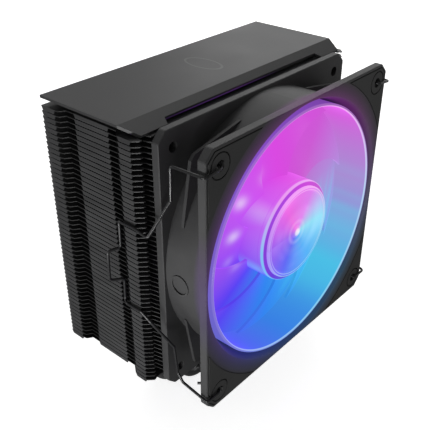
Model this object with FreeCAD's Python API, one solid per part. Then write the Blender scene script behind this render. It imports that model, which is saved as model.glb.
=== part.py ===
import FreeCAD, Part
import math
import os

from FreeCAD import Vector

# CPU tower cooler: a base with four U-shaped heat pipes, a stack of folded fins, a bent
# top cover, and one 120 mm axial fan held against the stack by two wire clips.
# Frame: origin at the centre of the base's contact face, +Z up along the tower, the fan
# faces -Y and +X is to the right of the fan.  All sizes are in millimetres.

# ---------------------------------------------------------------- driving dimensions
FAN_HALF = 60.0                   # half of the fan's square side
FAN_DEPTH = 25.6                  # front flange face to rear flange face
FAN_HOLE_OFFSET = 52.5            # the corner holes lie on a 105 mm square
FAN_HOLE_RADIUS = 2.15
FAN_Z = 92.0                      # height of the fan's axis
FAN_FRONT_Y = -52.7               # plane of the front flange's face
FRONT_FLANGE = 3.8
REAR_FLANGE = 3.5
CORNER_CUT = 4.0
FLANGE_EDGE = 0.3                 # chamfer round the edges of both flanges
WEB_FRONT = 15.6                  # depths of the webs behind the corners
WEB_BACK = 17.0
MOUTH_RADIUS = 59.2               # inlet at the front face
MOUTH_DEPTH = 8.0                 # depth at which the mouth has narrowed to the bore
BORE_RADIUS = 57.0
BARREL_RADIUS = 58.8
PAD_PROUD = 0.25                  # how far a rubber pad stands out of its flange
PAD_POCKET = 1.0
PAD_EDGE = 58.95                  # pocket's edge, from the fan's axis
PAD_ARC_RADIUS = 65.65            # pocket's inner arc, about the fan's axis
PAD_GAP = 0.35                    # gap between a pad and its pocket's straight edges
PAD_ARC_GAP = 0.15                # gap between a pad and its pocket's arc
MOUNT_FRONT = 22.4                # depths of the motor mount and its arms
MOUNT_BACK = 25.2
MOUNT_RADIUS = 22.3
ARM_TURN = 62.0                   # the arms leave the mount off centre, at this angle
ARM_SHIFT = 11.0
ARM_WIDTH = 4.2
CABLE_ARM_WIDTH = 8.0
CABLE_SLOT = 4.0

RING_RADIUS = 56.2                # impeller's outer ring
RING_INNER = 55.0
RING_FRONT = 0.5
RING_BACK = 21.2
HUB_RADIUS = 22.8
HUB_INNER = 21.1
HUB_BACK = 20.0
BLADES = 9
BLADE_SHEET = 1.3
BLADE_SPAN_DEG = 66.0             # angle that one blade covers
BLADE_SWEEP_DEG = -34.0           # turn of the blade from hub to tip
SHAFT_RADIUS = 1.5
SLEEVE_BORE = 1.53
TUBE_RADIUS = 4.2
TUBE_BORE = 3.0
CORE_FRONT = 9.8                  # depths of the stator's core and of the circuit board
CORE_BACK = 15.8
BOARD_FRONT = 21.0

FIN_COUNT = 52
FIN_PITCH = 2.195
FIN_SHEET = 0.4
FIN_TAB_DROP = 1.42               # folded edge below each fin's plate
TAB_SLANT = 0.8                   # how much shorter a folded edge is at its bottom
FIN_LOW_Z = 36.2
FIN_BACK_Y = 25.7
FIN_OUTER_X = 67.0                # face of the outer strips
FIN_MIDDLE_X = 64.2               # face of the middle strip and floor of the grooves
STRIP_INNER_Y = 17.4              # outer strips run from here to the stack's front and back
MIDDLE_HALF_Y = 9.8
PIPE_CLEAR = 0.03                 # radial gap between a pipe and a fin

COVER_TOP_Z = 154.0
COVER_SHEET = 1.1
COVER_HALF_X = 66.9
COVER_BACK_Y = 25.9
COVER_BEND_Y = -17.8
COVER_LIP_Y = -25.5
COVER_LIP_DROP = 3.0
COVER_LIP_HALF_X = 62.9
NOTCH_Y = -22.2                   # the lip is cut back to here along its middle
NOTCH_HALF_X = 48.0

BASE_HALF = 20.0
BASE_CUT = 2.0
BASE_SPLIT_Z = 7.0
BASE_TOP_Z = 13.0
PIPE_RADIUS = 3.0
PIPE_AXIS_Z = 2.6                 # under the pipe's radius: the pipes are ground flush
PIPE_PITCH = 6.8
PIPE_LEG_X = (30.0, 42.0, 42.0, 30.0)
PIPE_BEND = (10.0, 15.0, 15.0, 10.0)
PIPE_TOP_Z = 151.2
SCREW_X = 16.5
SCREW_Y = 16.9
SCREW_RADIUS = 1.25
SCREW_HEAD_RADIUS = 2.4
BAR_HOLE_X = 10.0                 # tapped holes for a mounting bar, one each side
BAR_HOLE_RADIUS = 1.25
BAR_HOLE_DEPTH = 5.0

WIRE_RADIUS = 0.6
WIRE_BEND = 1.4
WIRE_FRONT = -1.15                # depth of the wire's centre in front of the flange
HOOK_DEPTH = 9.0

SIDES = (-1, 1)
CORNERS = ((-1, 1), (1, 1), (-1, -1), (1, -1))
FORWARD = Vector(0, 1, 0)         # along the fan's axis, from front to back
FAN_CENTRE = Vector(0, 0, FAN_Z)
FIN_FRONT_Y = FAN_FRONT_Y + FAN_DEPTH + PAD_PROUD

os.makedirs("parts", exist_ok=True)


def save(name, shape):
    """Write one node, as one solid or as a group of separate solids."""
    solids = shape.Solids
    for solid in solids:
        if not solid.isValid() or solid.Volume <= 0:
            raise ValueError("bad solid in " + name)
    node = solids[0] if len(solids) == 1 else Part.makeCompound(solids)
    node.exportStep("parts/" + name + ".step")
    print(name, len(solids), "solid(s)", round(node.Volume, 1), "mm3")


def box(x0, x1, y0, y1, z0, z1):
    return Part.makeBox(x1 - x0, y1 - y0, z1 - z0, Vector(x0, y0, z0))


def outline_face(points):
    return Part.Face(Part.makePolygon(points + points[:1]))


def prism(outline, low_z, high_z):
    """Upright prism on a closed outline of (x, y) points."""
    face = outline_face([Vector(x, y, low_z) for x, y in outline])
    return face.extrude(Vector(0, 0, high_z - low_z))


def fuse_all(shapes):
    return shapes[0].multiFuse(shapes[1:]).removeSplitter()


# ---------------------------------------------------------------- shapes placed on the fan's axis
# A depth is measured from the front flange's face towards the fins.
def at_depth(depth):
    return FAN_FRONT_Y + depth


def fan_disc(radius, front, back, x=0.0, z=0.0):
    start = Vector(x, at_depth(front), FAN_Z + z)
    return Part.makeCylinder(radius, back - front, start, FORWARD)


def fan_ring(outer, inner, front, back):
    return fan_disc(outer, front, back).cut(fan_disc(inner, front, back))


def fan_box(x0, x1, z0, z1, front, back):
    return box(x0, x1, at_depth(front), at_depth(back), FAN_Z + z0, FAN_Z + z1)


def fan_plate(outline, front, back):
    """Plate parallel to the flanges on a closed outline of (x, z) points."""
    face = outline_face([Vector(x, at_depth(front), FAN_Z + z) for x, z in outline])
    return face.extrude(Vector(0, back - front, 0))


def fan_turned(profile):
    """Solid of revolution about the fan's axis from (radius, depth) points."""
    face = outline_face([Vector(radius, at_depth(depth), FAN_Z) for radius, depth in profile])
    return face.revolve(FAN_CENTRE, FORWARD, 360)


def fan_turn(shape, degrees):
    turned = shape.copy()
    turned.rotate(FAN_CENTRE, FORWARD, degrees)
    return turned


def square_outline(half, cut):
    near = half - cut
    return [(-near, half), (near, half), (half, near), (half, -near),
            (near, -half), (-near, -half), (-half, -near), (-half, near)]


# ---------------------------------------------------------------- base
def base_outline():
    return square_outline(BASE_HALF, BASE_CUT)


def screw_spots():
    return [(x * SCREW_X, y * SCREW_Y) for x, y in CORNERS]


def pipe_rows():
    return [(index - 1.5) * PIPE_PITCH for index in range(4)]


def base_block():
    """Lower half of the base, with an open groove for each pipe."""
    block = prism(base_outline(), 0, BASE_SPLIT_Z)
    for row_y in pipe_rows():
        start = Vector(-1.5 * BASE_HALF, row_y, PIPE_AXIS_Z)
        block = block.cut(Part.makeCylinder(PIPE_RADIUS, 3 * BASE_HALF, start, Vector(1, 0, 0)))
    for x, y in screw_spots():
        block = block.cut(Part.makeCylinder(SCREW_RADIUS, BASE_SPLIT_Z, Vector(x, y, 1.2)))
    return block


def base_cap():
    """Upper half of the base: counterbored for its screws and tapped for a mounting bar."""
    cap = prism(base_outline(), BASE_SPLIT_Z, BASE_TOP_Z)
    for x, y in screw_spots():
        cap = cap.cut(Part.makeCylinder(SCREW_RADIUS + 0.2, BASE_TOP_Z, Vector(x, y, 0)))
        seat = Vector(x, y, BASE_TOP_Z - 3.0)
        cap = cap.cut(Part.makeCylinder(SCREW_HEAD_RADIUS + 0.3, BASE_TOP_Z, seat))
    for side in SIDES:
        bottom = Vector(side * BAR_HOLE_X, 0, BASE_TOP_Z - BAR_HOLE_DEPTH)
        cap = cap.cut(Part.makeCylinder(BAR_HOLE_RADIUS, BASE_TOP_Z, bottom))
    for y in (-12.0, -7.5, 7.5, 12.0):
        flute = box(-BASE_HALF, BASE_HALF, y - 0.8, y + 0.8, BASE_TOP_Z - 1.6, BASE_TOP_Z)
        cap = cap.cut(flute)
    return cap


def base_screws():
    """Four socket-head screws that clamp the two halves on the pipes."""
    screws = []
    for x, y in screw_spots():
        shank = Part.makeCylinder(SCREW_RADIUS, BASE_TOP_Z - 4.2, Vector(x, y, 1.2))
        head = Part.makeCylinder(SCREW_HEAD_RADIUS, 2.4, Vector(x, y, BASE_TOP_Z - 3.0))
        socket = Part.makeCylinder(1.1, 2.0, Vector(x, y, BASE_TOP_Z - 1.9))
        screws.append(shank.fuse(head).cut(socket).removeSplitter())
    return Part.makeCompound(screws)


def heat_pipe(row_y, leg_x, bend):
    """U-shaped pipe: a straight run in the base, two bends and two legs with domed tips."""
    dome_z = PIPE_TOP_Z - PIPE_RADIUS
    knee = bend * (1 - math.sqrt(0.5))
    corners = [(-leg_x, dome_z), (-leg_x, PIPE_AXIS_Z + bend),
               (-leg_x + knee, PIPE_AXIS_Z + knee), (-leg_x + bend, PIPE_AXIS_Z)]
    left = [Vector(x, row_y, z) for x, z in corners]
    right = [Vector(-x, row_y, z) for x, z in corners]
    path = Part.Wire([
        Part.LineSegment(left[0], left[1]).toShape(),
        Part.Arc(left[1], left[2], left[3]).toShape(),
        Part.LineSegment(left[3], right[3]).toShape(),
        Part.Arc(right[3], right[2], right[1]).toShape(),
        Part.LineSegment(right[1], right[0]).toShape(),
    ])
    circle = Part.Wire(Part.Circle(left[0], Vector(0, 0, 1), PIPE_RADIUS).toShape())
    pipe = path.makePipeShell([circle], True, True)
    tips = [Part.makeSphere(PIPE_RADIUS, Vector(side * leg_x, row_y, dome_z)) for side in SIDES]
    pipe = fuse_all([pipe] + tips)
    ground = box(-leg_x, leg_x, row_y - PIPE_RADIUS, row_y + PIPE_RADIUS, -PIPE_RADIUS, 0)
    return pipe.cut(ground)


# ---------------------------------------------------------------- fin stack
def fin_outline(notch_depth):
    """Half of one fin seen from above, right side, from its front middle to its back middle."""
    outer = FIN_OUTER_X
    middle = FIN_MIDDLE_X
    seat = FAN_HALF - 0.4
    recess = FIN_FRONT_Y + 2.4
    front = [(0, recess), (36.0, recess), (40.0, FIN_FRONT_Y), (seat, FIN_FRONT_Y)]
    notch = [(seat + 1.0, FIN_FRONT_Y + notch_depth), (middle - 0.9, FIN_FRONT_Y + notch_depth)]
    corner = [(middle - 0.3, FIN_FRONT_Y), (middle + 0.6, FIN_FRONT_Y), (outer, -24.7)]
    groove_front = [(outer, -STRIP_INNER_Y), (middle, -STRIP_INNER_Y + 3.6)]
    groove_back = [(middle, STRIP_INNER_Y - 3.4), (outer - 0.4, STRIP_INNER_Y - 1.8),
                   (outer, STRIP_INNER_Y)]
    back = [(outer, FIN_BACK_Y), (0, FIN_BACK_Y)]
    return front + notch + corner + groove_front + groove_back + back


def fin_tab(face_x, y0, y1, low_z, high_z):
    """Folded edge of a fin; it is shorter at the bottom, so the stack's corners look toothed."""
    corners = [(y0, high_z), (y0 + TAB_SLANT, low_z), (y1 - TAB_SLANT, low_z), (y1, high_z)]
    inner_x = face_x - math.copysign(FIN_SHEET, face_x)
    face = outline_face([Vector(face_x, y, z) for y, z in corners])
    return face.extrude(Vector(inner_x - face_x, 0, 0))


def fin(low_z, notch_depth):
    """One fin: a plate pierced by the pipes, with three folded tabs on each side."""
    half = fin_outline(notch_depth)
    mirrored = [(-x, y) for x, y in reversed(half[1:-1])]
    plate_z = low_z + FIN_TAB_DROP
    shape = prism(half + mirrored, plate_z, plate_z + FIN_SHEET)
    tabs = []
    for side in SIDES:
        for face_x, y0, y1 in ((FIN_OUTER_X, -24.4, -STRIP_INNER_Y),
                               (FIN_MIDDLE_X, -MIDDLE_HALF_Y, MIDDLE_HALF_Y),
                               (FIN_OUTER_X, STRIP_INNER_Y, FIN_BACK_Y)):
            tabs.append(fin_tab(side * face_x, y0, y1, low_z, plate_z + FIN_SHEET))
    shape = fuse_all([shape] + tabs)
    holes = []
    for row_y, leg_x in zip(pipe_rows(), PIPE_LEG_X):
        for side in SIDES:
            start = Vector(side * leg_x, row_y, low_z)
            holes.append(Part.makeCylinder(PIPE_RADIUS + PIPE_CLEAR, FIN_PITCH, start))
    return shape.cut(Part.makeCompound(holes))


def fin_stack():
    """All fins; the lowest one is plain beside the fan, the others are notched there."""
    lowest = fin(FIN_LOW_Z, 0.4)
    notched = fin(FIN_LOW_Z, 4.4)
    fins = [lowest]
    for index in range(1, FIN_COUNT):
        copy = notched.copy()
        copy.translate(Vector(0, 0, index * FIN_PITCH))
        fins.append(copy)
    return Part.makeCompound(fins)


# ---------------------------------------------------------------- top cover
def top_cover():
    """Bent sheet with a sloping, notched front lip and four folded feet on the top fin."""
    slope = math.atan2(COVER_LIP_DROP, COVER_BEND_Y - COVER_LIP_Y)
    low_z = COVER_TOP_Z - COVER_SHEET
    in_y = COVER_SHEET * math.sin(slope)
    in_z = COVER_SHEET * math.cos(slope)
    bend_in = COVER_SHEET * math.tan(slope / 2)
    section = [(COVER_BACK_Y, low_z), (COVER_BACK_Y, COVER_TOP_Z), (COVER_BEND_Y, COVER_TOP_Z),
               (COVER_LIP_Y, COVER_TOP_Z - COVER_LIP_DROP),
               (COVER_LIP_Y + in_y, COVER_TOP_Z - COVER_LIP_DROP - in_z),
               (COVER_BEND_Y + bend_in, low_z)]
    face = outline_face([Vector(-COVER_HALF_X, y, z) for y, z in section])
    cover = face.extrude(Vector(2 * COVER_HALF_X, 0, 0))
    lip_end = COVER_LIP_Y - 1.0
    taper = (COVER_HALF_X - COVER_LIP_HALF_X) / (COVER_BEND_Y - COVER_LIP_Y)
    end_x = COVER_LIP_HALF_X - taper
    for side in SIDES:
        wedge = [(side * COVER_HALF_X, COVER_BEND_Y), (side * (COVER_HALF_X + 5), COVER_BEND_Y),
                 (side * (COVER_HALF_X + 5), lip_end), (side * end_x, lip_end)]
        cover = cover.cut(prism(wedge, low_z - 5, COVER_TOP_Z + 1))
    notch = [(-NOTCH_HALF_X - 2, lip_end), (NOTCH_HALF_X + 2, lip_end),
             (NOTCH_HALF_X, NOTCH_Y), (-NOTCH_HALF_X, NOTCH_Y)]
    cover = cover.cut(prism(notch, low_z - 5, COVER_TOP_Z + 1))
    top_fin_z = FIN_LOW_Z + (FIN_COUNT - 1) * FIN_PITCH + FIN_TAB_DROP + FIN_SHEET
    feet = []
    for side in SIDES:
        for y0, y1 in ((-16.0, -9.0), (15.5, 22.5)):
            x0, x1 = sorted((side * 60.5, side * (60.5 + COVER_SHEET)))
            feet.append(box(x0, x1, y0, y1, top_fin_z, low_z))
    return fuse_all([cover] + feet)


# ---------------------------------------------------------------- fan frame
def web_outline(side_x, side_z):
    """Web behind one corner, which leaves the barrel at a slant on both sides."""
    edge = [(54.9, 22.0), (50.1, 48.0)]
    across = [(z, x) for x, z in reversed(edge)]
    return [(side_x * x, side_z * z) for x, z in edge + across + [(38.0, 38.0)]]


def flange(front, back):
    """Square flange with cut corners and a small chamfer round every edge."""
    plate = fan_plate(square_outline(FAN_HALF, CORNER_CUT), front, back)
    return plate.makeChamfer(FLANGE_EDGE, plate.Edges)


def barrel_ring(side):
    """Plain raised ring on the barrel's side."""
    start = Vector(side * (BARREL_RADIUS - 2.0), at_depth(14.7), FAN_Z - 2.0)
    outward = Vector(side, 0, 0)
    ring = Part.makeCylinder(4.5, 2.4, start, outward)
    return ring.cut(Part.makeCylinder(3.8, 2.4, start, outward))


def mouth_and_bore():
    """Everything that the inlet's flare and the barrel's bore take away."""
    axis = [Vector(0, at_depth(FAN_DEPTH + 1), FAN_Z), Vector(0, at_depth(-1), FAN_Z)]
    lip = [Vector(MOUTH_RADIUS, at_depth(-1), FAN_Z), Vector(MOUTH_RADIUS, at_depth(0), FAN_Z)]
    waist = Vector(BORE_RADIUS + 0.6, at_depth(0.45 * MOUTH_DEPTH), FAN_Z)
    bore = [Vector(BORE_RADIUS, at_depth(MOUTH_DEPTH), FAN_Z),
            Vector(BORE_RADIUS, at_depth(FAN_DEPTH + 1), FAN_Z)]
    edges = [Part.LineSegment(axis[0], axis[1]), Part.LineSegment(axis[1], lip[0]),
             Part.LineSegment(lip[0], lip[1]), Part.Arc(lip[1], waist, bore[0]),
             Part.LineSegment(bore[0], bore[1]), Part.LineSegment(bore[1], axis[0])]
    face = Part.Face(Part.Wire([edge.toShape() for edge in edges]))
    return face.revolve(FAN_CENTRE, FORWARD, 360)


def corner_plates(edge, arc_radius, front, back):
    """The four corner areas of a square plate that lie outside a circle."""
    plate = fan_plate(square_outline(edge, CORNER_CUT - 0.6), front, back)
    return plate.cut(fan_disc(arc_radius, front, back))


def motor_mount():
    """Round mount on four arms; the widest arm carries the cable's channel."""
    mount = fan_disc(MOUNT_RADIUS, MOUNT_FRONT, MOUNT_BACK)
    arms = []
    for index, width in enumerate((CABLE_ARM_WIDTH, ARM_WIDTH, ARM_WIDTH, ARM_WIDTH)):
        low_z = ARM_SHIFT - width / 2
        arm = fan_box(12.0, BORE_RADIUS - 0.2, low_z, low_z + width, MOUNT_FRONT, MOUNT_BACK)
        arms.append(fan_turn(arm, ARM_TURN + 90.0 * index))
    return fuse_all([mount] + arms)


def cable_channel():
    """Channel along the widest arm, open to the rear and through the flange's edge."""
    low_z = ARM_SHIFT - CABLE_SLOT / 2
    front = MOUNT_BACK - 1.8
    channel = fan_box(20.0, 2 * FAN_HALF, low_z, low_z + CABLE_SLOT, front, FAN_DEPTH + 1)
    return fan_turn(channel, ARM_TURN)


def fan_frame():
    parts = [flange(0, FRONT_FLANGE), flange(FAN_DEPTH - REAR_FLANGE, FAN_DEPTH),
             fan_disc(BARREL_RADIUS, 1.0, FAN_DEPTH - 1.0)]
    parts += [barrel_ring(side) for side in SIDES]
    for side_x, side_z in CORNERS:
        parts.append(fan_plate(web_outline(side_x, side_z), WEB_FRONT, WEB_BACK))
    frame = fuse_all(parts).cut(mouth_and_bore())
    frame = fuse_all([frame, motor_mount()])
    frame = frame.cut(corner_plates(PAD_EDGE, PAD_ARC_RADIUS, 0, PAD_POCKET))
    frame = frame.cut(corner_plates(PAD_EDGE, PAD_ARC_RADIUS, FAN_DEPTH - PAD_POCKET, FAN_DEPTH))
    for side_x, side_z in CORNERS:
        hole = fan_disc(FAN_HOLE_RADIUS, -1, FAN_DEPTH + 1,
                        side_x * FAN_HOLE_OFFSET, side_z * FAN_HOLE_OFFSET)
        frame = frame.cut(hole)
    frame = frame.cut(fan_disc(TUBE_RADIUS, MOUNT_FRONT, MOUNT_FRONT + 1.0))
    frame = frame.cut(fan_disc(19.0, MOUNT_BACK - 0.4, MOUNT_BACK))
    return frame.cut(cable_channel())


def corner_pads(front, back, groove_front, groove_back):
    """Four rubber pads that fill the pockets of one flange, each with a ring groove."""
    pads = corner_plates(PAD_EDGE - PAD_GAP, PAD_ARC_RADIUS + PAD_ARC_GAP, front, back)
    for side_x, side_z in CORNERS:
        x = side_x * FAN_HOLE_OFFSET
        z = side_z * FAN_HOLE_OFFSET
        groove = fan_disc(5.3, groove_front, groove_back, x, z)
        groove = groove.cut(fan_disc(4.7, groove_front, groove_back, x, z))
        pads = pads.cut(groove).cut(fan_disc(FAN_HOLE_RADIUS, front, back, x, z))
    return pads.Solids


# ---------------------------------------------------------------- fan motor, fixed side
def bearing_tube():
    return fan_ring(TUBE_RADIUS, TUBE_BORE, 8.6, MOUNT_FRONT + 1.0)


def bearing_sleeve():
    return fan_ring(TUBE_BORE, SLEEVE_BORE, 9.0, 20.0)


def thrust_pad():
    return fan_disc(TUBE_BORE, 21.75, MOUNT_FRONT + 1.0)


def stator_arms(half_width, inner, outer, front, back):
    arm = fan_box(inner, outer, -half_width, half_width, front, back)
    return [fan_turn(arm, 90.0 * index) for index in range(4)]


def stator_core():
    """Laminated core with four arms and four curved pole shoes."""
    shoes = fan_ring(17.9, 15.6, CORE_FRONT, CORE_BACK)
    for index in range(4):
        gap = fan_box(14.0, 19.0, -2.0, 2.0, CORE_FRONT, CORE_BACK)
        shoes = shoes.cut(fan_turn(gap, 45.0 + 90.0 * index))
    arms = stator_arms(2.0, 5.0, 16.4, CORE_FRONT, CORE_BACK)
    core = fuse_all([fan_disc(6.6, CORE_FRONT, CORE_BACK), shoes] + arms)
    return core.cut(fan_disc(TUBE_RADIUS, CORE_FRONT, CORE_BACK))


def stator_coils():
    """Four windings, one around each arm of the core."""
    wound = stator_arms(5.0, 7.2, 14.6, 8.0, 17.6)
    inside = stator_arms(2.0, 7.2, 14.6, CORE_FRONT, CORE_BACK)
    return Part.makeCompound([outer.cut(hollow) for outer, hollow in zip(wound, inside)])


def fan_board():
    board = fan_ring(21.6, TUBE_RADIUS, BOARD_FRONT, MOUNT_FRONT)
    notch = fan_box(18.5, 23.0, -3.0, 3.0, BOARD_FRONT, MOUNT_FRONT)
    return board.cut(fan_turn(notch, ARM_TURN))


def board_leds():
    """Eight light-emitting diodes in a circle under the hub's rim."""
    led = fan_box(18.2, 20.2, -1.3, 1.3, BOARD_FRONT - 0.8, BOARD_FRONT)
    return Part.makeCompound([fan_turn(led, 45.0 * index) for index in range(8)])


def board_chips():
    """Motor driver and the position sensor beside the magnet."""
    driver = fan_turn(fan_box(9.5, 14.0, -2.5, 2.5, BOARD_FRONT - 1.2, BOARD_FRONT), 20.0)
    sensor = fan_turn(fan_box(14.8, 16.6, -1.6, 1.6, BOARD_FRONT - 1.8, BOARD_FRONT), 115.0)
    return Part.makeCompound([driver, sensor])


def rear_disc():
    return fan_disc(18.8, MOUNT_BACK - 0.4, MOUNT_BACK)


# ---------------------------------------------------------------- fan rotor
def blade():
    """One twisted blade between the hub's wall and the ring's wall, as a closed skin."""
    hub_r = HUB_RADIUS - 0.8
    tip_r = RING_INNER + 0.5
    spans = 5
    chords = 6
    skins = []
    for skin in (-0.5, 0.5):
        rows = []
        for span in range(spans):
            share = span / (spans - 1)
            radius = hub_r + (tip_r - hub_r) * share
            lead_depth = 11.6 + 4.4 * share
            trail_depth = 19.0 + 1.2 * share
            start = BLADE_SWEEP_DEG * share ** 1.3
            row = []
            for chord in range(chords):
                along = chord / (chords - 1)
                bulge = along + 0.3 * along * (1 - along)
                depth = lead_depth + (trail_depth - lead_depth) * bulge
                angle = math.radians(start + BLADE_SPAN_DEG * along)
                row.append(Vector(radius * math.cos(angle), at_depth(depth + skin * BLADE_SHEET),
                                  FAN_Z + radius * math.sin(angle)))
            rows.append(row)
        surface = Part.BSplineSurface()
        surface.interpolate(rows)
        skins.append(surface.toShape())
    front, back = skins
    sides = [Part.makeRuledSurface(one, other) for one, other in zip(front.Edges, back.Edges)]
    shell = Part.Shell([front, back] + sides)
    shell.sewShape()
    solid = Part.Solid(shell)
    solid.fix(0.001, 0.001, 0.001)
    return solid if solid.Volume > 0 else solid.reversed()


def hub_shell():
    """Cup of the impeller: stepped shoulder in front, open towards the motor."""
    return fan_turned([(0, 3.1), (20.75, 3.1), (20.75, 1.9), (22.2, 2.2), (22.7, 2.6),
                       (HUB_RADIUS, 3.3), (HUB_RADIUS, 4.9), (22.45, 5.1), (22.45, 5.5),
                       (HUB_RADIUS, 5.7), (HUB_RADIUS, HUB_BACK), (HUB_INNER, HUB_BACK),
                       (HUB_INNER, 5.2), (0, 5.2)])


def impeller():
    """One moulding: hub cup, blades and outer ring."""
    ring = fan_turned([(RING_INNER, RING_FRONT + 0.4), (RING_INNER + 0.3, RING_FRONT),
                       (RING_RADIUS - 0.3, RING_FRONT), (RING_RADIUS, RING_FRONT + 0.4),
                       (RING_RADIUS, RING_BACK), (RING_INNER, RING_BACK)])
    first = blade()
    blades = [fan_turn(first, 360.0 / BLADES * index) for index in range(BLADES)]
    return fuse_all([hub_shell(), ring] + blades)


def hub_cap():
    """Front lens of the hub: a shallow dish inside a raised double rim."""
    return fan_turned([(0, 3.1), (0, 1.1), (2.2, 1.2), (2.8, 1.6), (14.0, 1.6), (18.6, 1.4),
                       (18.9, 0.8), (19.4, 0.6), (19.7, 0.9), (20.0, 0.6), (20.5, 0.7),
                       (20.75, 1.2), (20.75, 3.1)])


def rotor_yoke():
    """Steel cup that closes the magnet's field, with a collar on the shaft."""
    return fan_turned([(SHAFT_RADIUS, 5.2), (HUB_INNER, 5.2), (HUB_INNER, 19.0), (20.3, 19.0),
                       (20.3, 6.0), (3.2, 6.0), (3.2, 7.4), (SHAFT_RADIUS, 7.4)])


def rotor_magnet():
    return fan_ring(20.3, 18.4, 7.4, 18.4)


def shaft():
    rod = fan_disc(SHAFT_RADIUS, 5.2, 21.4)
    groove = fan_ring(SHAFT_RADIUS, 1.1, 20.4, 20.8)
    return rod.cut(groove)


def retaining_clip():
    """Split washer in the shaft's groove that keeps the rotor in its sleeve."""
    washer = fan_ring(2.5, 1.1, 20.4, 20.8)
    return washer.cut(fan_box(0, 3.0, -0.5, 0.5, 20.4, 20.8))


# ---------------------------------------------------------------- wire clips
def wire_points(side):
    """Corners of one clip, from its upper hook to its lower hook."""
    front = at_depth(WIRE_FRONT)
    hook = at_depth(HOOK_DEPTH)
    left_side = [
        (-52.5, hook, 52.3), (-52.5, front, 52.3), (-61.2, front, 51.3),
        (-61.2, -37.6, 50.7), (-61.2, -37.2, 36.7), (-67.9, -31.0, 21.4),
        (-68.0, -24.7, 22.9), (-68.0, -16.6, 22.7), (-65.2, -12.6, 20.0),
        (-65.2, -12.4, 8.0), (-70.3, -10.4, 7.6), (-70.3, -10.0, -6.6),
        (-65.2, -13.0, -6.9), (-65.2, -12.6, -18.8), (-68.0, -16.8, -16.2),
        (-68.0, -24.8, -16.0), (-66.6, -28.6, -20.4), (-61.2, -35.8, -32.8),
        (-61.2, -37.6, -46.0), (-61.2, -40.2, -49.6), (-61.2, front, -52.1),
        (-52.5, front, -52.3), (-52.5, front + 6.3, -52.3), (-55.2, hook + 0.7, -52.8)]
    return [Vector(-side * x, y, FAN_Z + z) for x, y, z in left_side]


def rounded_wire(points, bend):
    """Straight runs joined by tangent arcs; a short run gets a smaller arc."""
    edges = []
    start = points[0]
    for before, corner, after in zip(points, points[1:], points[2:]):
        inward = (before - corner).normalize()
        outward = (after - corner).normalize()
        half_turn = (math.pi - inward.getAngle(outward)) / 2
        shorter = min(before.distanceToPoint(corner), after.distanceToPoint(corner))
        cut = min(bend * math.tan(half_turn), 0.45 * shorter)
        radius = cut / math.tan(half_turn)
        first = corner + inward * cut
        last = corner + outward * cut
        middle_way = (inward + outward).normalize()
        middle = corner + middle_way * (radius / math.cos(half_turn) - radius)
        edges.append(Part.LineSegment(start, first).toShape())
        edges.append(Part.Arc(first, middle, last).toShape())
        start = last
    edges.append(Part.LineSegment(start, points[-1]).toShape())
    return Part.Wire(edges)


def wire_clip(side):
    points = wire_points(side)
    path = rounded_wire(points, WIRE_BEND)
    circle = Part.Circle(points[0], points[1] - points[0], WIRE_RADIUS).toShape()
    return path.makePipeShell([Part.Wire(circle)], True, True)


# ---------------------------------------------------------------- nodes
save("base_block", base_block())
save("base_cap", base_cap())
save("base_screws", base_screws())
for number, (row, leg, pipe_bend) in enumerate(zip(pipe_rows(), PIPE_LEG_X, PIPE_BEND), start=1):
    save("heat_pipe_%d" % number, heat_pipe(row, leg, pipe_bend))
save("fin_stack", fin_stack())
save("top_cover", top_cover())
save("fan_frame", fan_frame())
front_pads = corner_pads(-PAD_PROUD, PAD_POCKET, -PAD_PROUD, 0.5)
rear_pads = corner_pads(FAN_DEPTH - PAD_POCKET, FAN_DEPTH + PAD_PROUD,
                        FAN_DEPTH - 0.5, FAN_DEPTH + PAD_PROUD)
for number, (front_pad, rear_pad) in enumerate(zip(front_pads, rear_pads), start=1):
    save("front_pad_%d" % number, front_pad)
    save("rear_pad_%d" % number, rear_pad)
save("bearing_tube", bearing_tube())
save("bearing_sleeve", bearing_sleeve())
save("thrust_pad", thrust_pad())
save("stator_core", stator_core())
save("stator_coils", stator_coils())
save("fan_board", fan_board())
save("board_leds", board_leds())
save("board_chips", board_chips())
save("rear_disc", rear_disc())
save("impeller", impeller())
save("hub_cap", hub_cap())
save("rotor_yoke", rotor_yoke())
save("rotor_magnet", rotor_magnet())
save("shaft", shaft())
save("retaining_clip", retaining_clip())
save("wire_clip_left", wire_clip(-1))
save("wire_clip_right", wire_clip(1))
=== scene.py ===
import bpy
import math
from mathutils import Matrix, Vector


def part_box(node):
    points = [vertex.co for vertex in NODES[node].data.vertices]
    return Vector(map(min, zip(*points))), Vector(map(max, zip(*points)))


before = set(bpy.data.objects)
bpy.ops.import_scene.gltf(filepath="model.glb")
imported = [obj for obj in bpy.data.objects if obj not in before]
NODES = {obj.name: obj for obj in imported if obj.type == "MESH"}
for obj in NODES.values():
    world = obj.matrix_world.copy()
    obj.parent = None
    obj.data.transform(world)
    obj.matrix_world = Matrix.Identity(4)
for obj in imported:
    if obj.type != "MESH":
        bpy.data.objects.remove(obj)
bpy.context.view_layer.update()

# Looks of the CPU tower cooler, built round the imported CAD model.  Blender works in
# metres in the CAD's own frame: the fan faces -Y, +Z is up the tower, +X is to the right.

MM = 0.001
WHITE = (1, 1, 1, 1)
FAN_LOW, FAN_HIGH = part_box("fan_frame")
FAN_Z = (FAN_LOW.z + FAN_HIGH.z) / 2
FRONT_Y = FAN_LOW.y
COVER_TOP_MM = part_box("top_cover")[1].z / MM


# ---------------------------------------------------------------- camera, light and floor
VIEW_TURN = math.radians(48.98)       # from the fan's axis towards +X
VIEW_DROP = math.radians(31.25)
VIEW_AIM = Vector((-1.8, -6.3, 83.3)) * MM
VIEW_DISTANCE = 323.9 * MM
VIEW_LENS = 57.71
ROOM_LIGHT = 0.22
MIDDLE = (0, 0, 0.09)
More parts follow.
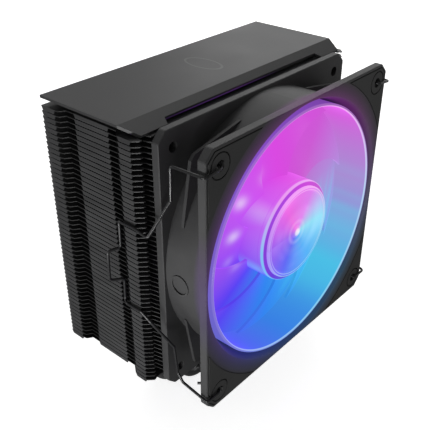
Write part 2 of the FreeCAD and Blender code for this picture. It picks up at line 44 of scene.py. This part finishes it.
# name, place and aim in metres, size in metres, power in watts
LIGHTS = (
    ("above", (0.30, 0.40, 0.75), MIDDLE, (0.7, 0.7), 1.6),
    ("right", (0.80, 0.45, 0.40), (0.05, 0, 0.15), (0.5, 0.3), 0.75),
    ("low", (-0.26, -0.07, 0.015), (-0.06, -0.03, 0.05), (0.2, 0.02), 0.52),
    ("side", (-0.9, 0.1, 0.2), (0, 0, 0.08), (0.5, 0.4), 0.5),
    ("front", (0.8, -0.6, 0.25), MIDDLE, (0.5, 0.4), 0.95),
    ("rear", (-0.4, 0.9, 0.25), MIDDLE, (0.5, 0.4), 1.2),
    ("far_side", (0.9, 0.15, 0.12), MIDDLE, (0.5, 0.3), 1.0),
)
FLOOR_GLOW = 0.75
BACKDROP_GLOW = 0.9


def make_camera():
    forward = Vector((math.sin(VIEW_TURN) * math.cos(VIEW_DROP),
                      math.cos(VIEW_TURN) * math.cos(VIEW_DROP), -math.sin(VIEW_DROP)))
    data = bpy.data.cameras.new("camera")
    data.lens = VIEW_LENS
    data.sensor_width = 36.0
    data.clip_start = 0.01
    camera = bpy.data.objects.new("camera", data)
    camera.location = VIEW_AIM - forward * VIEW_DISTANCE
    camera.rotation_mode = "QUATERNION"
    camera.rotation_quaternion = forward.to_track_quat("-Z", "Y")
    bpy.context.scene.collection.objects.link(camera)
    bpy.context.scene.camera = camera


def area_light(name, place, aim, size, power):
    data = bpy.data.lights.new(name, "AREA")
    data.shape = "RECTANGLE"
    data.size, data.size_y = size
    data.energy = power
    light = bpy.data.objects.new(name, data)
    light.location = place
    direction = Vector(aim) - Vector(place)
    light.rotation_mode = "QUATERNION"
    light.rotation_quaternion = direction.to_track_quat("-Z", "Y")
    light.visible_camera = False
    bpy.context.scene.collection.objects.link(light)


def make_light():
    world = bpy.data.worlds.new("studio")
    world.use_nodes = True
    background = world.node_tree.nodes["Background"]
    background.inputs["Color"].default_value = WHITE
    background.inputs["Strength"].default_value = ROOM_LIGHT
    bpy.context.scene.world = world
    for light in LIGHTS:
        area_light(*light)
    bpy.context.scene.view_settings.view_transform = "Standard"
    bpy.context.scene.view_settings.look = "None"


def stage_surface(stage, level):
    """Pale paper that only the camera sees, so it throws no light back at the object."""
    material, _, shader = new_material(stage.name + "_paper", (0.9, 0.9, 0.9), 0.9)
    shader.inputs["Specular IOR Level"].default_value = 0.0
    shader.inputs["Emission Color"].default_value = WHITE
    shader.inputs["Emission Strength"].default_value = level
    stage.data.materials.append(material)
    stage.visible_diffuse = False
    stage.visible_glossy = False
    stage.visible_transmission = False


def make_stage():
    bpy.ops.mesh.primitive_plane_add(size=12.0, location=(0, 0, -0.0004))
    floor = bpy.context.object
    floor.name = "floor"
    stage_surface(floor, FLOOR_GLOW)
    bpy.ops.mesh.primitive_uv_sphere_add(radius=5.0, segments=48, ring_count=24)
    backdrop = bpy.context.object
    backdrop.name = "backdrop"
    backdrop.visible_shadow = False
    stage_surface(backdrop, BACKDROP_GLOW)


# ---------------------------------------------------------------- shader helpers
def new_material(name, colour, roughness, metallic=0.0):
    material = bpy.data.materials.new(name)
    material.use_nodes = True
    tree = material.node_tree
    shader = tree.nodes["Principled BSDF"]
    shader.inputs["Base Color"].default_value = (*colour, 1)
    shader.inputs["Roughness"].default_value = roughness
    shader.inputs["Metallic"].default_value = metallic
    return material, tree, shader


def feed(tree, socket, value):
    if isinstance(value, bpy.types.NodeSocket):
        tree.links.new(value, socket)
    else:
        socket.default_value = value


def calc(tree, operation, *values):
    """A Math node on sockets or numbers; returns its output socket."""
    node = tree.nodes.new("ShaderNodeMath")
    node.operation = operation
    for socket, value in zip(node.inputs, values):
        feed(tree, socket, value)
    return node.outputs[0]


def blend_colour(tree, share, first, second):
    node = tree.nodes.new("ShaderNodeMix")
    node.data_type = "RGBA"
    feed(tree, node.inputs[0], share)
    feed(tree, node.inputs[6], first)
    feed(tree, node.inputs[7], second)
    return node.outputs[2]


def ramp(tree, value, stops):
    """Colour ramp through (place, (r, g, b)) stops, or grey (place, level) stops."""
    node = tree.nodes.new("ShaderNodeValToRGB")
    elements = node.color_ramp.elements
    while len(elements) < len(stops):
        elements.new(0.5)
    for element, (place, colour) in zip(elements, stops):
        element.position = place
        level = colour if isinstance(colour, tuple) else (colour, colour, colour)
        element.color = (*level, 1)
    tree.links.new(value, node.inputs[0])
    return node.outputs[0]


def noise(tree, place, scale, detail, stretch=None):
    if stretch is not None:
        mapping = tree.nodes.new("ShaderNodeMapping")
        mapping.inputs["Scale"].default_value = stretch
        tree.links.new(place, mapping.inputs[0])
        place = mapping.outputs[0]
    node = tree.nodes.new("ShaderNodeTexNoise")
    node.inputs["Scale"].default_value = scale
    node.inputs["Detail"].default_value = detail
    tree.links.new(place, node.inputs["Vector"])
    return node.outputs["Fac"]


def bump(tree, shader, height, strength, distance):
    node = tree.nodes.new("ShaderNodeBump")
    node.inputs["Strength"].default_value = strength
    node.inputs["Distance"].default_value = distance
    tree.links.new(height, node.inputs["Height"])
    tree.links.new(node.outputs[0], shader.inputs["Normal"])


def grained(name, dark, light, rough, grain_mm, depth_mm, metallic=0.0, stretch=None):
    """Surface with fine grain: two tones, an uneven gloss and a bump of that grain."""
    material, tree, shader = new_material(name, light, rough[0], metallic)
    place = tree.nodes.new("ShaderNodeTexCoord").outputs["Object"]
    fine = noise(tree, place, 1.0 / (grain_mm * MM), 2.0, stretch)
    broad = noise(tree, place, 60.0, 4.0, stretch)
    both = calc(tree, "MULTIPLY_ADD", broad, 0.6, calc(tree, "MULTIPLY", fine, 0.4))
    tree.links.new(ramp(tree, both, [(0.35, dark), (0.65, light)]), shader.inputs["Base Color"])
    gloss = ramp(tree, both, [(0.3, rough[0]), (0.7, rough[1])])
    tree.links.new(gloss, shader.inputs["Roughness"])
    bump(tree, shader, fine, 0.5, depth_mm * MM)
    return material, tree, shader


def part_mm(tree):
    """x, y and z of the shaded point, in mm."""
    geometry = tree.nodes.new("ShaderNodeNewGeometry")
    split = tree.nodes.new("ShaderNodeSeparateXYZ")
    tree.links.new(geometry.outputs["Position"], split.inputs[0])
    return [calc(tree, "DIVIDE", socket, MM) for socket in split.outputs]


def profile(tree, value, stops):
    """Level of 0 to 1 that follows (place, level) points along a value."""
    low = stops[0][0]
    span = stops[-1][0] - low
    share = calc(tree, "DIVIDE", calc(tree, "SUBTRACT", value, low), span)
    return ramp(tree, share, [((place - low) / span, level) for place, level in stops])


def fan_polar(tree):
    """Radius and depth in mm, and the angle both in radians and as a share of a turn."""
    x, y, z = part_mm(tree)
    z = calc(tree, "SUBTRACT", z, FAN_Z / MM)
    depth = calc(tree, "SUBTRACT", y, FRONT_Y / MM)
    square = calc(tree, "MULTIPLY_ADD", x, x, calc(tree, "MULTIPLY", z, z))
    radius = calc(tree, "SQRT", square)
    angle = calc(tree, "ARCTAN2", z, x)
    turn = calc(tree, "MULTIPLY_ADD", angle, 0.5 / math.pi, 0.5)
    return radius, depth, angle, turn


def disc_place(tree):
    """Place across the fan, in mm from its axis: x to the right and z up."""
    x, y, z = part_mm(tree)
    return x, calc(tree, "SUBTRACT", z, FAN_Z / MM)


def disc_spot(tree, x, z, spot, size):
    """Soft round patch of light at a (radius in mm, angle in degrees) place round the axis."""
    radius, angle = spot[0], math.radians(spot[1])
    across = calc(tree, "SUBTRACT", x, radius * math.cos(angle))
    up = calc(tree, "SUBTRACT", z, radius * math.sin(angle))
    total = calc(tree, "MULTIPLY_ADD", across, across, calc(tree, "MULTIPLY", up, up))
    return calc(tree, "EXPONENT", calc(tree, "DIVIDE", total, -size * size))


def round_spot(tree, radius, depth, angle, spot, size):
    """Soft round patch of light at a (radius, depth, angle in degrees) place."""
    spot_radius, spot_depth, spot_angle = spot
    across = calc(tree, "MULTIPLY", calc(tree, "SUBTRACT", angle, math.radians(spot_angle)),
                  spot_radius)
    out = calc(tree, "SUBTRACT", radius, spot_radius)
    deep = calc(tree, "MULTIPLY", calc(tree, "SUBTRACT", depth, spot_depth), 0.5)
    total = calc(tree, "MULTIPLY_ADD", across, across, calc(tree, "MULTIPLY", out, out))
    total = calc(tree, "MULTIPLY_ADD", deep, deep, total)
    return calc(tree, "EXPONENT", calc(tree, "DIVIDE", total, -size * size))


def tint(code):
    """Linear colour of a two-digits-a-channel display colour."""
    levels = [int(code[start:start + 2], 16) / 255 for start in (0, 2, 4)]
    return tuple(((level + 0.055) / 1.055) ** 2.4 for level in levels)


def wheel(*codes):
    """Ramp stops for evenly spaced colours, from the fan's left round by its bottom."""
    return [(index / len(codes), tint(code)) for index, code in enumerate(codes + codes[:1])]


def lit_shader(name, roughness):
    material, tree, shader = new_material(name, (0.006, 0.006, 0.006), roughness)
    shader.inputs["Specular IOR Level"].default_value = 0.2
    return material, tree, shader


def glow(tree, shader, colour, level):
    tree.links.new(colour, shader.inputs["Emission Color"])
    feed(tree, shader.inputs["Emission Strength"], level)


# ---------------------------------------------------------------- colours of the fan's light
# violet, blue, azure, cyan, lilac, orchid, magenta and pink, at every 45 degrees
FAN_WHEEL = wheel("a850f8", "5840f0", "3080e8", "40a8e8", "a890d8", "d058d8", "e048e8", "d058f8")
LENS_WHEEL = wheel("a060f0", "6068f8", "50b0f8", "90e0f8", "e080f0", "f068e8")
RIM_WHEEL = wheel("b090f8", "a0b8f8", "88d8f8", "c0d8f8", "f8b0f8", "f0a0f8")
HUB_WHEEL = wheel("88c8f8", "78b8f8", "78c8f8", "a0d8f8", "f0b0f8", "f0a0f8")
OUTSIDE_WHEEL = wheel("7868d0", "5868d0", "5040a0", "7038a0", "7840a0", "8850c8")
# painted pools of the LEDs' light on the fan's left side, round the axis at this radius in mm
LED_RADIUS = 29.0
LED_SPOTS = ((112.0, 0.16), (140.0, 0.42), (168.0, 0.42), (196.0, 0.12))   # degrees, strength
LED_SPOT_SIZE = 3.0
GLOW_LEVEL = 0.93


# ---------------------------------------------------------------- materials
MARK_CENTRE = (1.3, 3.0)
MARK_HALF = (5.4, 10.4)
MARK_HEIGHT = [(COVER_TOP_MM - 0.5, 0.0), (COVER_TOP_MM - 0.1, 1.0), (COVER_TOP_MM + 0.5, 1.0)]
MARK_INK = (0.09, 0.09, 0.09, 1)
# where the painted glow of the fan's light sits on the notch's cut edge, and its strength along x
NOTCH_EDGE_Y = [(-23.0, 0.0), (-22.4, 0.0), (-22.3, 1.0), (-22.1, 1.0), (-22.0, 0.0), (-20.0, 0.0)]
NOTCH_EDGE_Z = [(150.0, 1.0), (151.35, 1.0), (151.6, 0.0), (155.0, 0.0)]
NOTCH_GLOW_X = [(-48.0, 0.04), (-30.0, 0.12), (-8.0, 0.14), (22.0, 0.0)]
# how much painted shade falls in the fins' grooves, by distance in mm from the middle
GROOVE_SHADE = [(0.0, 0.0), (9.6, 0.0), (10.0, 0.85), (17.2, 0.85), (17.5, 0.0), (27.0, 0.0)]


def printed_oval(tree, x, y):
    """Mask of the plain mark on the cover: one oval line with nothing inside it."""
    across = calc(tree, "DIVIDE", calc(tree, "SUBTRACT", x, MARK_CENTRE[0]), MARK_HALF[0])
    along = calc(tree, "DIVIDE", calc(tree, "SUBTRACT", y, MARK_CENTRE[1]), MARK_HALF[1])
    square = calc(tree, "MULTIPLY_ADD", across, across, calc(tree, "MULTIPLY", along, along))
    out = calc(tree, "SQRT", square)
    return profile(tree, out, [(0.0, 0.0), (0.84, 0.0), (0.88, 1.0), (0.97, 1.0), (1.0, 0.0)])


def cover_paint():
    """Satin paint with a plain printed oval, and the fan's violet light painted as a glow on the
    notch's cut edge.
    """
    material, tree, shader = grained("cover_paint", (0.022, 0.022, 0.023), (0.034, 0.034, 0.035),
                                     (0.42, 0.50), 0.35, 0.02)
    x, y, z = part_mm(tree)
    painted = shader.inputs["Base Color"].links[0].from_socket
    mark = calc(tree, "MULTIPLY", printed_oval(tree, x, y), profile(tree, z, MARK_HEIGHT))
    tree.links.new(blend_colour(tree, mark, painted, MARK_INK), shader.inputs["Base Color"])
    # painted light: a violet glow on the notch's cut edge, strongest just left of the middle
    edge = calc(tree, "MULTIPLY", profile(tree, y, NOTCH_EDGE_Y), profile(tree, z, NOTCH_EDGE_Z))
    level = calc(tree, "MULTIPLY", edge, profile(tree, x, NOTCH_GLOW_X))
    shader.inputs["Emission Color"].default_value = (*tint("a050e0"), 1)
    feed(tree, shader.inputs["Emission Strength"], level)
    return material


def fin_coating():
    """Black coating on the fins, with painted shade inside the grooves between the strips."""
    material, tree, shader = grained("fin_coating", (0.018, 0.018, 0.019), (0.034, 0.034, 0.035),
                                     (0.40, 0.52), 0.6, 0.02, stretch=(1, 1, 4))
    coat = shader.inputs["Base Color"].links[0].from_socket
    y = calc(tree, "ABSOLUTE", part_mm(tree)[1])
    # painted shade: the coating goes nearly black inside the grooves between the strips
    shade = profile(tree, y, GROOVE_SHADE)
    tree.links.new(blend_colour(tree, shade, coat, (0.001, 0.001, 0.001, 1)),
                   shader.inputs["Base Color"])
    return material


def frame_plastic():
    """Matte black plastic, with the lit ring's coloured light painted on as a glow round the
    mouth.
    """
    material, tree, shader = grained("frame_plastic", (0.030, 0.030, 0.031), (0.046, 0.046, 0.047),
                                     (0.46, 0.58), 0.3, 0.03)
    radius, depth, _, turn = fan_polar(tree)
    # painted light: a coloured glow on the front of the frame round the mouth, as if from the lit
    # ring
    painted_bleed = profile(tree, radius, [(56.5, 0.07), (57.5, 0.1), (58.5, 0.115), (60.0, 0.075),
                                   (62.0, 0.04), (66.0, 0.0)])
    front = profile(tree, depth, [(0.0, 1.0), (3.0, 1.0), (8.0, 0.0)])
    glow(tree, shader, ramp(tree, turn, FAN_WHEEL), calc(tree, "MULTIPLY", painted_bleed, front))
    return material


def pad_rubber():
    return grained("pad_rubber", (0.024, 0.024, 0.024), (0.036, 0.036, 0.036),
                   (0.6, 0.7), 0.5, 0.03)[0]


def wire_coating():
    return grained("wire_coating", (0.008, 0.008, 0.009), (0.014, 0.014, 0.015),
                   (0.25, 0.35), 0.4, 0.01)[0]


def bare_metal(name, dark, light, rough, stretch=(1, 1, 1)):
    return grained(name, dark, light, rough, 0.25, 0.01, 1.0, stretch)[0]


def plain_plastic(name, dark, light):
    return grained(name, dark, light, (0.35, 0.5), 0.4, 0.02)[0]


def impeller_plastic():
    """Milky plastic lit from inside, with that light painted on as a glow: soft colours round the
    axis, and bright rims painted as highlights.
    """
    material, tree, shader = lit_shader("impeller_lit", 0.28)
    radius, depth, angle, turn = fan_polar(tree)
    x, z = disc_place(tree)
    colour = ramp(tree, turn, FAN_WHEEL)
    # painted highlight: cyan light streaks at the fan's lower right
    colour = blend_colour(tree, painted_blade_streaks(tree, x, z, turn), colour,
                          (*tint("4cd8ee"), 1))
    # painted light: the ring's inner wall a touch paler
    wall = profile(tree, radius, [(54.0, 0.0), (54.8, 0.0), (55.0, 0.012), (57.0, 0.012)])
    colour = blend_colour(tree, wall, colour, WHITE)
    # painted light: the ring's outside takes its own darker colours of the glow
    outside = profile(tree, radius, [(54.0, 0.0), (55.3, 0.0), (55.45, 1.0), (57.0, 1.0)])
    colour = blend_colour(tree, outside, colour, ramp(tree, turn, OUTSIDE_WHEEL))
    # painted highlight: a bright line along the ring's front edge
    front = profile(tree, depth, [(0.0, 1.0), (1.0, 1.0), (1.2, 0.0), (3.0, 0.0)])
    line = profile(tree, radius, [(54.0, 0.0), (54.7, 0.0), (54.85, 1.0), (55.3, 1.0),
                                  (55.5, 0.25), (57.0, 0.15)])
    rim = calc(tree, "MULTIPLY", front, line)
    colour = blend_colour(tree, rim, colour, ramp(tree, turn, RIM_WHEEL))
    # painted highlights on the hub's wall
    colour = blend_colour(tree, painted_hub_highlights(tree, radius, depth, angle), colour,
                          ramp(tree, turn, HUB_WHEEL))
    # painted shade: a dark violet groove round the hub, deepest at the left and gone at the lower
    # right
    groove = profile(tree, radius, [(20.0, 1.0), (22.2, 1.0), (22.45, 0.0), (24.0, 0.0)])
    groove_side = profile(tree, turn, [(0.0, 0.75), (0.15, 0.4), (0.4, 0.0), (0.7, 0.1),
                                       (0.8, 0.45), (1.0, 0.75)])
    colour = blend_colour(tree, calc(tree, "MULTIPLY", groove, groove_side), colour,
                          (*tint("7a30d0"), 1))
    # painted light: soft white pools of the LEDs' light on the fan
    for spot_angle, strength in LED_SPOTS:
        patch = disc_spot(tree, x, z, (LED_RADIUS, spot_angle), LED_SPOT_SIZE)
        colour = blend_colour(tree, calc(tree, "MULTIPLY", patch, strength), colour, WHITE)
    # painted light: the whole colour field is emission standing in for the light inside the fan
    glow(tree, shader, colour, GLOW_LEVEL)
    return material


def painted_blade_streaks(tree, x, z, turn):
    """Painted curved light streaks, such as the turning blades leave, at the fan's lower right."""
    across = calc(tree, "ADD", x, 22.0)
    down = calc(tree, "SUBTRACT", z, 34.0)
    square = calc(tree, "MULTIPLY_ADD", across, across, calc(tree, "MULTIPLY", down, down))
    arc = tree.nodes.new("ShaderNodeCombineXYZ")
    tree.links.new(calc(tree, "MULTIPLY", calc(tree, "SQRT", square), 0.2), arc.inputs[0])
    tree.links.new(calc(tree, "MULTIPLY", calc(tree, "ARCTAN2", down, across), 1.6), arc.inputs[1])
    wave = profile(tree, noise(tree, arc.outputs[0], 1.0, 1.5), [(0.4, 0.0), (0.65, 1.0)])
    sector = profile(tree, turn, [(0.0, 0.0), (0.28, 0.0), (0.35, 0.45), (0.41, 0.6),
                                  (0.47, 0.5), (0.53, 0.0), (1.0, 0.0)])
    return calc(tree, "MULTIPLY", wave, sector)


def painted_hub_highlights(tree, radius, depth, angle):
    """Painted highlights on the hub's wall: a bright front corner, and two soft lights on the
    wall's left side.
    """
    wall = profile(tree, radius, [(21.0, 0.0), (22.3, 0.0), (22.5, 1.0), (22.85, 1.0),
                                  (22.95, 0.0), (24.0, 0.0)])
    corner = profile(tree, depth, [(0.0, 1.0), (3.3, 1.0), (3.9, 0.15), (14.0, 0.0)])
    upper = round_spot(tree, radius, depth, angle, (22.5, 7.0, 140.0), 4.5)
    lower = round_spot(tree, radius, depth, angle, (22.5, 7.0, -150.0), 4.5)
    lights = calc(tree, "MULTIPLY", calc(tree, "ADD", upper, lower), 0.55)
    return calc(tree, "MULTIPLY", wall, calc(tree, "MAXIMUM", corner, lights))


def hub_lens():
    """Clear-fronted lens with its inner light painted on as a glow: deep colour inside, a painted
    pale double rim and a painted bright spot in the middle.
    """
    material, tree, shader = lit_shader("hub_lens_lit", 0.4)
    radius, _, angle, turn = fan_polar(tree)
    colour = ramp(tree, turn, LENS_WHEEL)
    swirl = tree.nodes.new("ShaderNodeCombineXYZ")
    tree.links.new(calc(tree, "MULTIPLY", radius, 0.1), swirl.inputs[0])
    tree.links.new(calc(tree, "MULTIPLY", angle, 0.8), swirl.inputs[1])
    wave = noise(tree, swirl.outputs[0], 1.0, 1.0)
    # painted highlights: a bright spot in the middle, pale rings and soft swirls
    pale = profile(tree, radius, [(0.0, 0.8), (1.2, 0.7), (2.2, 0.12), (3.4, 0.03), (5.0, 0.16),
                                  (6.4, 0.03), (9.0, 0.05), (12.0, 0.0), (21.0, 0.0)])
    soft = calc(tree, "MULTIPLY", calc(tree, "SUBTRACT", wave, 0.5), 0.3)
    colour = blend_colour(tree, calc(tree, "MAXIMUM", pale, soft), colour, WHITE)
    # painted highlight: the pale double rim
    rim = profile(tree, radius, [(18.0, 0.0), (19.0, 0.1), (19.15, 0.9), (19.45, 0.9),
                                 (19.6, 0.0), (20.0, 0.0), (20.15, 1.0), (20.5, 1.0), (21.0, 0.6)])
    colour = blend_colour(tree, rim, colour, ramp(tree, turn, RIM_WHEEL))
    # the painted glow brightens and dims with the swirls
    level = calc(tree, "MULTIPLY_ADD", calc(tree, "SUBTRACT", wave, 0.5), 0.25, 0.97)
    glow(tree, shader, colour, level)
    return material


def led_lens():
    material, tree, shader = lit_shader("led_lens", 0.2)
    turn = fan_polar(tree)[3]
    glow(tree, shader, blend_colour(tree, 0.6, ramp(tree, turn, LENS_WHEEL), WHITE), 1.5)
    return material


def paint(node, material):
    """Gives a carried CAD node its material."""
    mesh = NODES[node].data
    mesh.materials.clear()
    mesh.materials.append(material)


def soften(node, width):
    """Rounds a node's sharp edges a little, so that they catch the light."""
    bevel = NODES[node].modifiers.new("soft_edges", "BEVEL")
    bevel.width = width * MM
    bevel.segments = 2
    bevel.limit_method = "ANGLE"
    bevel.angle_limit = math.radians(25)


# ---------------------------------------------------------------- the object
def paint_nodes():
    cover = cover_paint()
    fins = fin_coating()
    plastic = frame_plastic()
    rubber = pad_rubber()
    wire = wire_coating()
    silver = bare_metal("machined_aluminium", (0.45, 0.45, 0.46), (0.6, 0.6, 0.61), (0.25, 0.4),
                        (12, 1, 1))
    steel = bare_metal("plain_steel", (0.35, 0.35, 0.36), (0.5, 0.5, 0.51), (0.25, 0.35))
    paint("top_cover", cover)
    soften("top_cover", 0.45)
    paint("fin_stack", fins)
    paint("fan_frame", plastic)
    for number in range(1, 5):
        paint("front_pad_%d" % number, rubber)
        paint("rear_pad_%d" % number, rubber)
        paint("heat_pipe_%d" % number, fins)
    paint("wire_clip_left", wire)
    paint("wire_clip_right", wire)
    paint("base_block", silver)
    paint("base_cap", silver)
    for node in ("base_screws", "shaft", "stator_core", "rotor_yoke"):
        paint(node, steel)
    brass = bare_metal("brass", (0.5, 0.34, 0.12), (0.7, 0.5, 0.2), (0.25, 0.4))
    copper = bare_metal("winding_copper", (0.35, 0.12, 0.05), (0.6, 0.25, 0.1), (0.3, 0.45),
                        (1, 30, 1))
    paint("bearing_tube", brass)
    paint("bearing_sleeve", copper)
    paint("stator_coils", copper)
    board = plain_plastic("solder_mask", (0.01, 0.07, 0.03), (0.02, 0.12, 0.05))
    black = plain_plastic("moulded_black", (0.01, 0.01, 0.01), (0.03, 0.03, 0.03))
    white = plain_plastic("white_plastic", (0.6, 0.6, 0.58), (0.8, 0.8, 0.78))
    paint("fan_board", board)
    for node in ("board_chips", "rotor_magnet", "rear_disc"):
        paint(node, black)
    for node in ("thrust_pad", "retaining_clip"):
        paint(node, white)
    paint("board_leds", led_lens())
    paint("impeller", impeller_plastic())
    paint("hub_cap", hub_lens())


make_camera()
make_light()
make_stage()
paint_nodes()
